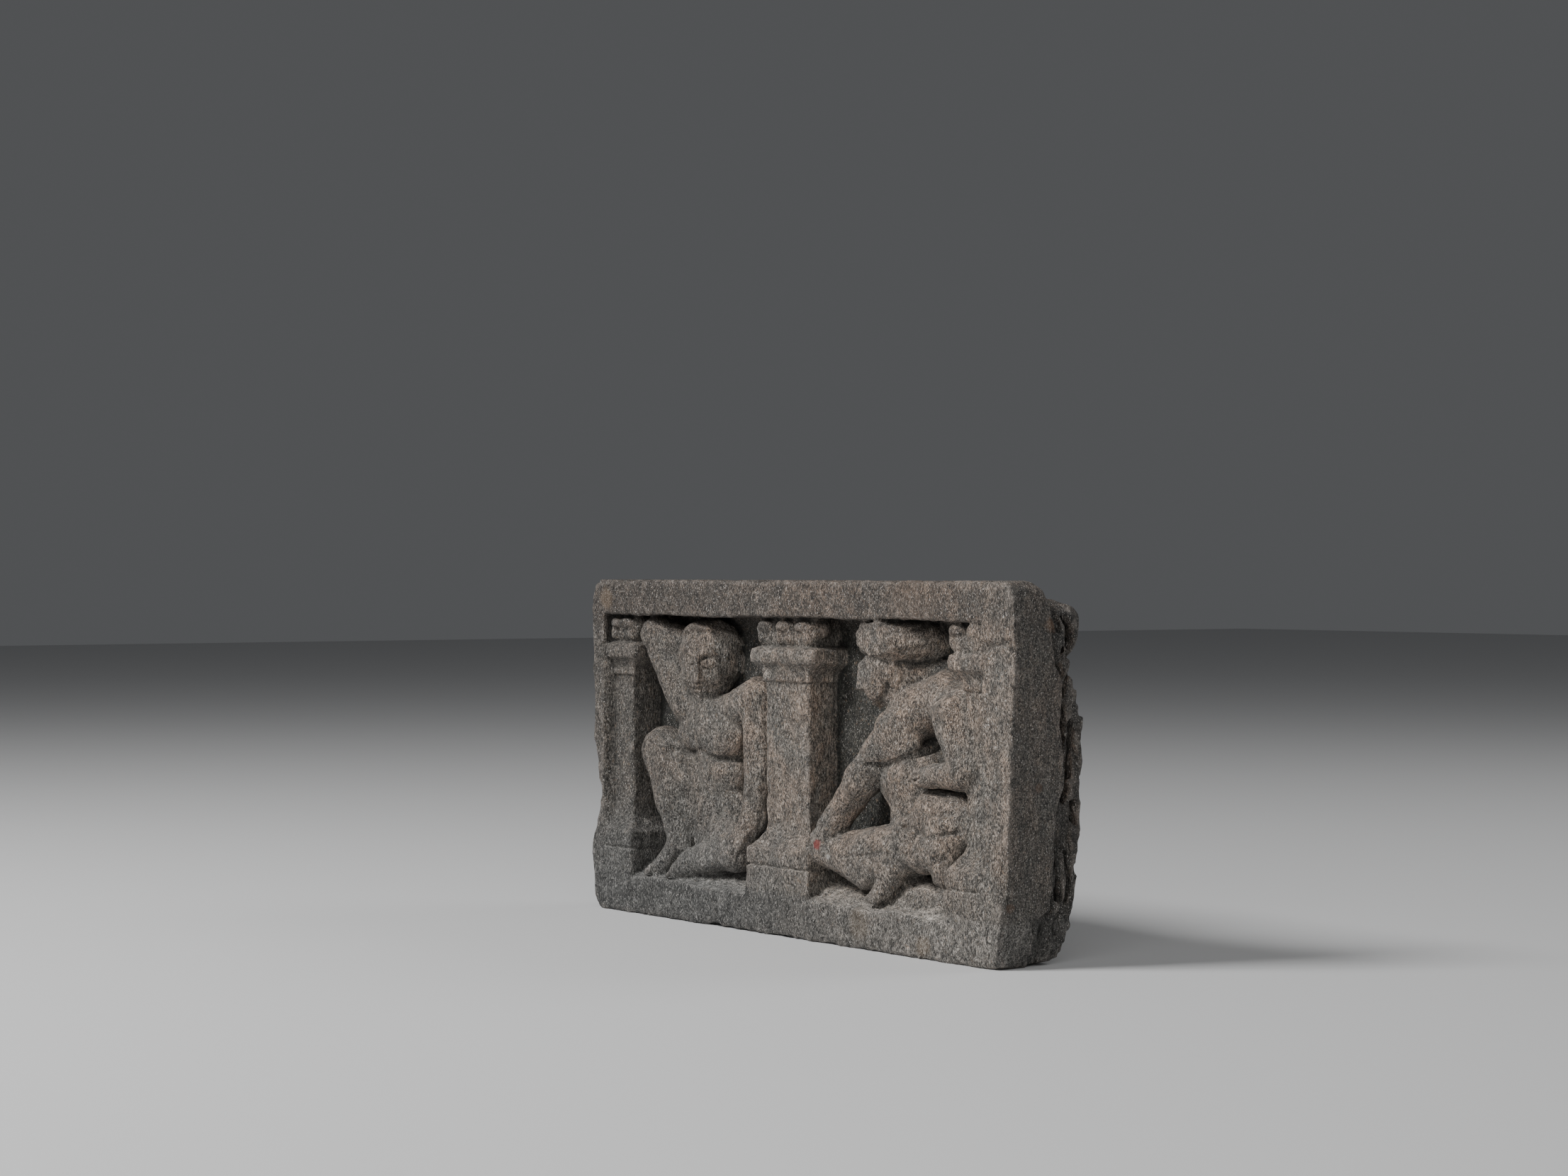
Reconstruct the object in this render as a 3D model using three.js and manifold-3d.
// A small stone relief panel: a plain lintel and base joined by three short pillars, with a
// crouching bearer carved in each of the two bays. It is one block of schist, so it is one solid.
// Units are millimetres, +Z is up, the carved face looks along -Y and the origin is at the
// middle of the underside. Depths are counted backwards from the front plane.
import * as THREE from 'three';
import { mergeVertices } from 'three/addons/utils/BufferGeometryUtils.js';
import { ConvexGeometry } from 'three/addons/geometries/ConvexGeometry.js';
import Module from 'manifold-3d';

const wasm = await Module();
wasm.setup();

// Driving dimensions of the block
const HEIGHT = 170;
const HALF_WIDTH = 172;
const THICKNESS = 52;
const FRONT_Y = -THICKNESS / 2;
const EDGE_ROUND = 2.5;

// Driving dimensions of the architecture
const BASE_TOP = 20;
const LINTEL_UNDERSIDE = 152;
const GROUND_DEPTH = 24;
const SHAFT_DEPTH = 7;
const PILLAR_SPACING = 153.5;
const CENTRE_PILLAR_X = -6;
const PLINTH_HALF = 25;
const SHAFT_HALF = 17.3;
const CUSHION_HALF = 26.6;
const CAPITAL_HALF = 24.6;
const BACK_OF_CARVING = 28;
const RIGHT_STRIP_X = 148;
const RIGHT_STRIP_DEPTH = 2.2;
const LEFT_STRIP_X = -160.5;
const LEFT_STRIP_DEPTH = 1.2;

// ---------------------------------------------------------------- making and joining solids

function solid(geometry) {
  const bare = geometry.clone();
  for (const name of Object.keys(bare.attributes)) {
    if (name !== 'position') bare.deleteAttribute(name);
  }
  const merged = mergeVertices(bare, 1e-4);
  return new wasm.Manifold(new wasm.Mesh({
    numProp: 3,
    vertProperties: new Float32Array(merged.attributes.position.array),
    triVerts: new Uint32Array(merged.index.array),
  }));
}

function place([x, depth, z]) {
  return new THREE.Vector3(x, FRONT_Y + depth, z);
}

// Closed solid through a stack of rings that all have the same number of points.
function loft(rings) {
  const count = rings[0].length;
  const points = rings.flat();
  const faces = [];
  for (let level = 0; level + 1 < rings.length; level += 1) {
    for (let i = 0; i < count; i += 1) {
      const a = level * count + i;
      const b = level * count + ((i + 1) % count);
      faces.push(a, b, b + count, a, b + count, a + count);
    }
  }
  for (const [level, flip] of [[0, true], [rings.length - 1, false]]) {
    const outline = rings[level].map((p) => new THREE.Vector2(p.x, p.y));
    for (const [a, b, c] of THREE.ShapeUtils.triangulateShape(outline, [])) {
      const start = level * count;
      faces.push(start + a, start + (flip ? c : b), start + (flip ? b : c));
    }
  }
  const geometry = new THREE.BufferGeometry().setFromPoints(points);
  geometry.setIndex(faces);
  return solid(geometry);
}

// Prism along X from an outline given as depth and height.
function barAlongX(outline, xStart, xEnd) {
  const shape = new THREE.Shape(outline.map(([depth, z]) => new THREE.Vector2(FRONT_Y + depth, z)));
  const bar = new THREE.ExtrudeGeometry(shape, { depth: xEnd - xStart, bevelEnabled: false });
  bar.applyMatrix4(new THREE.Matrix4().set(0, 0, 1, xStart, 1, 0, 0, 0, 0, 1, 0, 0, 0, 0, 0, 1));
  return solid(bar);
}

// Tapered limb with round ends.
function limb(from, fromRadius, to, toRadius) {
  const ball = mergeVertices(new THREE.IcosahedronGeometry(1, 1).deleteAttribute('normal')
    .deleteAttribute('uv')).attributes.position;
  const points = [];
  for (const [centre, radius] of [[place(from), fromRadius], [place(to), toRadius]]) {
    for (let i = 0; i < ball.count; i += 1) {
      points.push(new THREE.Vector3().fromBufferAttribute(ball, i).multiplyScalar(radius).add(centre));
    }
  }
  return solid(new ConvexGeometry(points));
}

// Ellipsoid of half sizes [across, deep, tall], turned about Z and then leaned in the wall's plane.
function mass(centre, halfSizes, turn = 0, lean = 0, detail = 2) {
  const ball = new THREE.IcosahedronGeometry(1, detail);
  ball.scale(...halfSizes);
  ball.rotateZ(THREE.MathUtils.degToRad(turn));
  ball.rotateY(THREE.MathUtils.degToRad(lean));
  const at = place(centre);
  ball.translate(at.x, at.y, at.z);
  return solid(ball);
}

function along(table, z) {
  for (let i = 0; i + 1 < table.length; i += 1) {
    const [z0, value0] = table[i];
    const [z1, value1] = table[i + 1];
    if (z <= z1) return value0 + ((value1 - value0) * (z - z0)) / (z1 - z0);
  }
  return table[table.length - 1][1];
}

// ---------------------------------------------------------------- the broken block

// X of the two ends at each height: the left one is scooped, the right one leans outwards.
const LEFT_END = [[0, -167], [8, -171], [34, -172], [47, -168.5], [58, -164.5], [72, -167], [88, -171],
  [121, -172], [160, -171.5], [167, -170], [170, -166]];
const RIGHT_END = [[0, 159], [17, 161.7], [71, 166.6], [114, 168.5], [142, 171.5], [158, 172],
  [165, 171.4], [170, 167]];
// Depth of the rough back beside the right end, at each height.
const BACK_AT_END = [[0, 28], [2, 36.5], [7, 40.2], [13, 42.7], [19, 44.4], [25, 45.2], [38, 45.4],
  [44, 45.3], [50, 46.9], [57, 47.7], [66, 46.9], [76, 46.8], [83, 44.4], [88, 45.5], [94, 46],
  [101, 47], [109, 45.9], [113, 43.3], [120, 40.7], [129, 37.3], [134, 34.9], [137, 32.5],
  [146, 27.1], [153, 24.1], [158, 22.8], [165, 21.7], [170, 18]];
// Depth where the dressed end face stops and the fracture starts.
const DRESSED_DEPTH = [[0, 14], [3, 17], [6, 21.6], [20, 20], [25, 30], [39, 29], [55, 28], [73, 31],
  [89, 35], [101, 34], [114, 30], [125, 31], [132, 26], [145, 22.4], [154, 21.5], [160, 20], [170, 15]];
const LEVELS = [0, 2, 7, 14, 20, 26, 38, 49, 57, 66, 76, 83, 92, 101, 110, 120, 130, 137, 146, 153,
  160, 165, 168.3, 170];
const BACK_COLUMNS = 15;

// The back is cleaved in layers: broad steps with a slow swell.
function backDepth(x, z) {
  const swell = 4.2 * Math.sin(x / 47 + z / 61) + 2.6 * Math.sin(x / 23 - z / 29 + 1.4);
  const middle = 1 - (x / HALF_WIDTH) ** 2;
  const depth = along(BACK_AT_END, z) + 3.2 * middle + swell * middle;
  const stepped = Math.round(depth / 3.5) * 3.5;
  return Math.min(THICKNESS, THREE.MathUtils.lerp(depth, stepped, 0.6 * middle));
}

function blockRing(z) {
  const left = along(LEFT_END, z);
  const right = along(RIGHT_END, z);
  const dressed = along(DRESSED_DEPTH, z);
  const lip = z > HEIGHT - 1 ? EDGE_ROUND * 0.8 : 0;
  const endDepth = along(BACK_AT_END, z);
  const halfway = THREE.MathUtils.lerp(dressed, endDepth, 0.5);
  const ring = [[left + EDGE_ROUND, lip], [right - EDGE_ROUND, lip], [right - 0.6, lip + 0.8],
    [right, lip + EDGE_ROUND], [right, dressed], [right - 2.5, halfway], [right - 2.5, endDepth]];
  for (let i = 1; i <= BACK_COLUMNS; i += 1) {
    const x = THREE.MathUtils.lerp(right - 8, left + 8, (i - 1) / (BACK_COLUMNS - 1));
    ring.push([x, backDepth(x, z)]);
  }
  const leftDepth = backDepth(left, z) - 3;
  ring.push([left + 1.5, leftDepth], [left, leftDepth * 0.62], [left, lip + EDGE_ROUND]);
  return ring.map(([x, depth]) => place([x, depth, z]));
}

// ---------------------------------------------------------------- pillars

// One level of a pillar: half its width, depth of its front, and how much its corners are cut.
function pillarRing(x, [z, half, depth, corner], edges) {
  const left = Math.max(x - half, edges.left);
  const right = Math.min(x + half, edges.right);
  const back = BACK_OF_CARVING;
  return [[left, back], [left, depth + corner], [left + corner, depth], [right - corner, depth],
    [right, depth + corner], [right, back]].map(([px, pd]) => place([px, pd, z]));
}

const PILLAR_PROFILE = [
  [BASE_TOP - 8, PLINTH_HALF, 0.2, 0.6], [32.2, PLINTH_HALF, 0.2, 0.6],
  [32.6, PLINTH_HALF - 0.7, 1.2, 0.6], [33.4, PLINTH_HALF - 0.7, 1.2, 0.6],
  [33.8, PLINTH_HALF, 0.5, 0.6], [41, PLINTH_HALF, 0.5, 0.8],
  [42.5, PLINTH_HALF - 2, 2, 1], [49, SHAFT_HALF + 1, SHAFT_DEPTH - 0.6, 1],
  [121, SHAFT_HALF, SHAFT_DEPTH, 0.8], [121.6, SHAFT_HALF + 1.3, SHAFT_DEPTH - 1.2, 1],
  [124.2, SHAFT_HALF + 1.3, SHAFT_DEPTH - 1.2, 1], [124.8, SHAFT_HALF + 1.6, SHAFT_DEPTH - 1, 1],
  [129.4, CUSHION_HALF - 3, 4.2, 2], [130.4, CUSHION_HALF - 0.8, 2.4, 2],
  [133.6, CUSHION_HALF, 1.8, 2.4], [137, CUSHION_HALF - 0.8, 2.6, 2],
  [138.2, CAPITAL_HALF - 3.5, 6.5, 1.5], [146, CAPITAL_HALF - 4, 7.5, 1.5],
  [LINTEL_UNDERSIDE + 3, CAPITAL_HALF - 2, 6, 1.5]];

function pillar(x, edges) {
  return loft(PILLAR_PROFILE.map((level) => pillarRing(x, level, edges)));
}

// Where the curled leaves and the corner volutes of each capital stand.
const CAPITALS = [
  { leaves: [-152.5, -144.5], volutes: [-140] },
  { leaves: [-20.5, -6, 9], volutes: [-25.6, 13.6] },
  { leaves: [130, 141], volutes: [127.5] },
];

function capital({ leaves, volutes }) {
  return [
    ...leaves.map((x) => mass([x, 8.6, 145.4], [8.2, 5.6, 7.4], 0, 0, 1)),
    ...volutes.map((x) => mass([x, 11, 147], [5.6, 7, 5], 0, 0, 1)),
  ];
}

// ---------------------------------------------------------------- figures

// Joints are [across, depth, height]. Limbs are [from, radius, to, radius].
// Masses are [centre, half sizes, turn, lean].
const FRONTAL_BEARER = {
  joints: {
    head: [-82.5, 14.8, 129], neck: [-84, 17, 110], chest: [-76, 16.5, 95], shoulders: [-72, 17, 101],
    breastLeft: [-93, 11.5, 93], breastRight: [-66, 10.4, 92.5], belly: [-70, 15, 76],
    hips: [-76, 17, 57],
    raisedShoulder: [-99, 14, 107], raisedElbow: [-123, 10.5, 142.5], raisedHand: [-100, 18, 137],
    hangingShoulder: [-41, 15.5, 111.5], hangingElbow: [-35.5, 12.5, 78],
    hangingWrist: [-37.5, 10, 54],
    hangingHand: [-43, 7, 43],
    highHip: [-86, 19, 67], highKnee: [-115.5, 10.6, 83], highCalf: [-107.5, 13.4, 62],
    thighBack: [-92, 17, 50], highAnkle: [-102, 12, 38], highToe: [-114, 5.5, 24],
    lowHip: [-70, 18, 49], lowKnee: [-50, 9, 36], lowShin: [-72, 8.5, 33], lowAnkle: [-88, 8, 29],
    lowToe: [-97, 5, 24], lap: [-80, 14, 50], ground: [-84, 24, 22],
  },
  limbs: [
    ['neck', 10, 'chest', 12], ['shoulders', 10.5, 'hangingShoulder', 11],
    ['raisedShoulder', 10.4, 'raisedElbow', 9], ['raisedElbow', 8.4, 'raisedHand', 8],
    ['hangingShoulder', 11, 'hangingElbow', 9], ['hangingElbow', 9, 'hangingWrist', 7.4],
    ['hangingWrist', 7.4, 'hangingHand', 6.6], ['hangingHand', 6, 'lowKnee', 6.4],
    ['highHip', 14, 'highKnee', 12.2], ['highKnee', 11.8, 'highCalf', 13.4],
    ['highCalf', 13.4, 'highAnkle', 8.6], ['highKnee', 10, 'thighBack', 10],
    ['highAnkle', 8, 'highToe', 4.8],
    ['lowHip', 13, 'lowKnee', 9], ['lowKnee', 8.6, 'lowShin', 8.2], ['lowShin', 8.2, 'lowAnkle', 6.6],
    ['lowAnkle', 6.4, 'lowToe', 4.4],
  ],
  masses: [
    ['head', [17.4, 14.8, 20.2]], ['chest', [27, 13, 18]],
    ['breastLeft', [11.5, 6, 8.8], 0, 0, 1], ['breastRight', [17, 7.2, 11]],
    ['belly', [19, 10.5, 15], 0, 0, 1], ['hips', [25, 11.4, 18], 0, 0, 1], ['lap', [15, 8, 17], 0, 0, 1],
    ['ground', [30, 12, 9], 0, 0, 1],
  ],
};

const TURBANED_BEARER = {
  joints: {
    head: [68.5, 15, 127.5], turban: [77, 18.6, 142.8], knot: [60, 6.8, 146], roll: [86, 18, 129.4],
    chin: [66.5, 7.4, 118], neck: [78, 16, 113], nape: [101, 21, 116.5], collar: [124, 18, 114],
    straightShoulder: [75, 12, 101.5], straightElbow: [52, 9, 78], straightWrist: [33, 6.6, 56],
    straightHand: [25, 5.6, 48],
    breast: [77, 10.5, 95], flank: [98, 27, 92], belly: [80, 17, 79], waist: [83, 17, 61],
    bentShoulder: [119, 11.4, 108], bentElbow: [129, 10, 87], bentForearm: [128, 9, 83.4],
    bentWrist: [107, 6.6, 82], bentHand: [100, 6, 80.8],
    highHip: [92, 17, 62], highKnee: [113, 11, 62], kneeFront: [103, 11, 65], highShin: [112, 10, 50],
    highAnkle: [99, 9.4, 47], highHeel: [89, 9, 48], highToe: [72, 5.4, 27.5],
    lowHip: [84, 14, 48], lowKnee: [25, 7.6, 43], lowShin: [58, 8, 36], lowAnkle: [78, 9, 39],
    leaf: [54, 9.6, 41], postFoot: [115, 9, 38], lap: [88, 9.6, 52], ground: [98, 22, 24],
  },
  limbs: [
    ['head', 12, 'chin', 6.4], ['head', 11, 'neck', 9], ['neck', 9, 'nape', 11],
    ['nape', 11.5, 'collar', 11],
    ['straightShoulder', 10.5, 'nape', 12], ['nape', 10, 'bentShoulder', 10.5],
    ['straightShoulder', 10, 'straightElbow', 8.6], ['straightElbow', 8.6, 'straightWrist', 6.8],
    ['straightWrist', 6.8, 'straightHand', 5.6], ['straightHand', 5.2, 'lowKnee', 6],
    ['bentShoulder', 11.6, 'bentElbow', 9.4], ['bentForearm', 7.8, 'bentWrist', 5.6],
    ['bentWrist', 5.6, 'bentHand', 4.6],
    ['highHip', 11, 'highKnee', 11], ['highShin', 10.5, 'highAnkle', 9.5],
    ['highAnkle', 8.4, 'highHeel', 7.6], ['highHeel', 6, 'highToe', 4.6], ['highShin', 9.6, 'postFoot', 7],
    ['lowHip', 13, 'lowKnee', 6.8], ['lowKnee', 6.6, 'lowShin', 8.4], ['lowShin', 8.4, 'lowAnkle', 7.6],
  ],
  masses: [
    ['head', [13, 17.5, 16], -45], ['turban', [17, 26, 11.6], -42], ['roll', [20, 12, 6.4], -12, 0, 1],
    ['knot', [6, 6, 6.4], 0, 0, 1],
    ['breast', [15, 7.4, 12], 0, 0, 1], ['flank', [26, 8.5, 24], 0, 0, 1], ['belly', [21, 11.4, 17]],
    ['waist', [16, 10.5, 15], 0, 0, 1], ['highKnee', [22, 9.6, 14.4]],
    ['kneeFront', [12.6, 8.8, 10.6], 0, 0, 1], ['leaf', [27, 6.4, 11], 0, 6, 1],
    ['lap', [12, 7.4, 12], 0, 0, 1], ['ground', [36, 15, 10], 0, 0, 1],
  ],
};

function figure({ joints, limbs, masses }) {
  const forms = limbs.map(([from, radiusFrom, to, radiusTo]) => (
    limb(joints[from], radiusFrom, joints[to], radiusTo)));
  for (const [centre, ...sizes] of masses) {
    forms.push(mass(joints[centre], ...sizes));
  }
  return wasm.Manifold.union(forms);
}

// ---------------------------------------------------------------- the panel

const bayOutline = [[-3, BASE_TOP - 4], [0, BASE_TOP - 2], [4, BASE_TOP], [10, BASE_TOP + 3.5],
  [16, BASE_TOP + 7], [21, BASE_TOP + 12], [GROUND_DEPTH, BASE_TOP + 18],
  [GROUND_DEPTH, LINTEL_UNDERSIDE - 4], [GROUND_DEPTH - 3, LINTEL_UNDERSIDE], [1.4, LINTEL_UNDERSIDE],
  [0, LINTEL_UNDERSIDE + 1.6], [-3, LINTEL_UNDERSIDE + 1.6]];

// The shallow recess between base and lintel, open at the front.
function shallowOutline(depth) {
  return [[-3, BASE_TOP - 1], [depth, BASE_TOP - 1], [depth, LINTEL_UNDERSIDE],
    [1.4, LINTEL_UNDERSIDE], [0, LINTEL_UNDERSIDE + 1.6], [-3, LINTEL_UNDERSIDE + 1.6]];
}

const pillarCentres = [-1, 0, 1].map((step) => CENTRE_PILLAR_X + step * PILLAR_SPACING);
const pillarEdges = { left: LEFT_STRIP_X - 1, right: RIGHT_STRIP_X + 1 };

// A lump left on the back at the top right corner, with a hollow that opens towards the end.
const backLump = mass([156, 33.5, 148], [13, 11, 12], 0, 0, 2);
const backHollow = mass([171, 33, 146.5], [9, 2.6, 8], 0, 0, 1);

let panel = loft(LEVELS.map(blockRing));
for (const [depth, start, end] of [[LEFT_STRIP_DEPTH, -HALF_WIDTH - 10, LEFT_STRIP_X + 1],
  [SHAFT_DEPTH, LEFT_STRIP_X, RIGHT_STRIP_X], [RIGHT_STRIP_DEPTH, RIGHT_STRIP_X - 1, HALF_WIDTH + 10]]) {
  panel = panel.subtract(barAlongX(shallowOutline(depth), start, end));
}
for (const [left, right] of [pillarCentres.slice(0, 2), pillarCentres.slice(1)]) {
  panel = panel.subtract(barAlongX(bayOutline, left + SHAFT_HALF - 1, right - SHAFT_HALF + 1));
}
const raised = [figure(FRONTAL_BEARER), figure(TURBANED_BEARER), ...CAPITALS.flatMap(capital)];
for (const x of pillarCentres) {
  raised.push(pillar(x, pillarEdges));
}
const carvingZone = barAlongX([[0, BASE_TOP - 10], [BACK_OF_CARVING, BASE_TOP - 10],
  [BACK_OF_CARVING, HEIGHT - 4], [0, HEIGHT - 4]], -HALF_WIDTH, HALF_WIDTH);
panel = panel.add(wasm.Manifold.union(raised).intersect(carvingZone));
panel = panel.add(backLump).subtract(backHollow);

function toGeometry(manifold) {
  const { vertProperties, triVerts } = manifold.getMesh();
  const geometry = new THREE.BufferGeometry();
  geometry.setAttribute('position', new THREE.BufferAttribute(new Float32Array(vertProperties), 3));
  geometry.setIndex(new THREE.BufferAttribute(new Uint32Array(triVerts), 1));
  geometry.computeVertexNormals();
  return geometry;
}

const schist = new THREE.MeshStandardMaterial({ color: 0x5b564f, roughness: 0.85, metalness: 0 });
const reliefPanel = new THREE.Mesh(toGeometry(panel), schist);
reliefPanel.name = 'relief_panel';

const group = new THREE.Group();
group.add(reliefPanel);

export default group;
